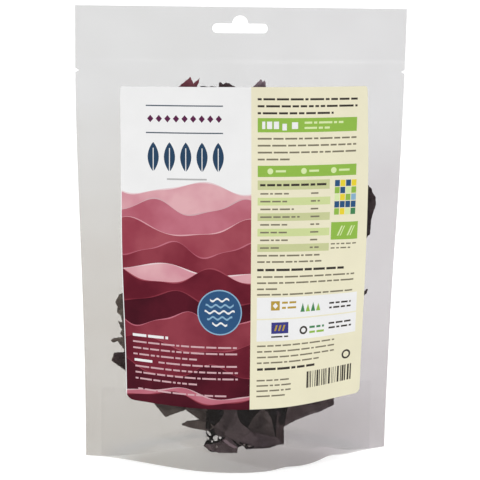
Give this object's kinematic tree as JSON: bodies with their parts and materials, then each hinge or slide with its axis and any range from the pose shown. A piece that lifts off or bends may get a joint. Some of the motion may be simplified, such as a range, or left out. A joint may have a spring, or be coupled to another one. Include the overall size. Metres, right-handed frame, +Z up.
{
  "type": "pouch of dried dulse seaweed",
  "caption": "Clear film stand-up pouch with a round hang slot and tear notches, a paper label on its front, packed with dried dulse fronds.",
  "frame": {"origin": "on the ground, under the middle of the pouch, midway between its faces", "axes": "+Z up towards the hang slot, +X to the right as seen from the front, the labelled front faces -Y"},
  "size_m": [0.19, 0.0554, 0.268],
  "materials": {
    "film": "clear film with a fine frost, soft gloss",
    "label_paper": null,
    "dried_dulse": "dry, wrinkled purple-brown seaweed with redder thin tips"
  },
  "bodies": {
    "root": {"pouch_front": "film", "pouch_back": "film", "pouch_gusset": "film", "label": "label_paper", "dulse_low_1": "dried_dulse", "dulse_low_2": "dried_dulse", "dulse_low_3": "dried_dulse", "dulse_low_4": "dried_dulse", "dulse_low_5": "dried_dulse", "dulse_low_6": "dried_dulse", "dulse_low_7": "dried_dulse", "dulse_mid_1": "dried_dulse", "dulse_mid_2": "dried_dulse", "dulse_mid_3": "dried_dulse", "dulse_mid_4": "dried_dulse", "dulse_mid_5": "dried_dulse", "dulse_mid_6": "dried_dulse", "dulse_high_1": "dried_dulse", "dulse_high_2": "dried_dulse", "dulse_high_3": "dried_dulse", "dulse_high_4": "dried_dulse", "dulse_high_5": "dried_dulse", "dulse_high_6": "dried_dulse", "dulse_high_7": "dried_dulse", "dulse_front_centre": "dried_dulse", "dulse_front_left": "dried_dulse", "dulse_side_left": "dried_dulse", "dulse_side_right": "dried_dulse"}
  },
  "joints": []
}
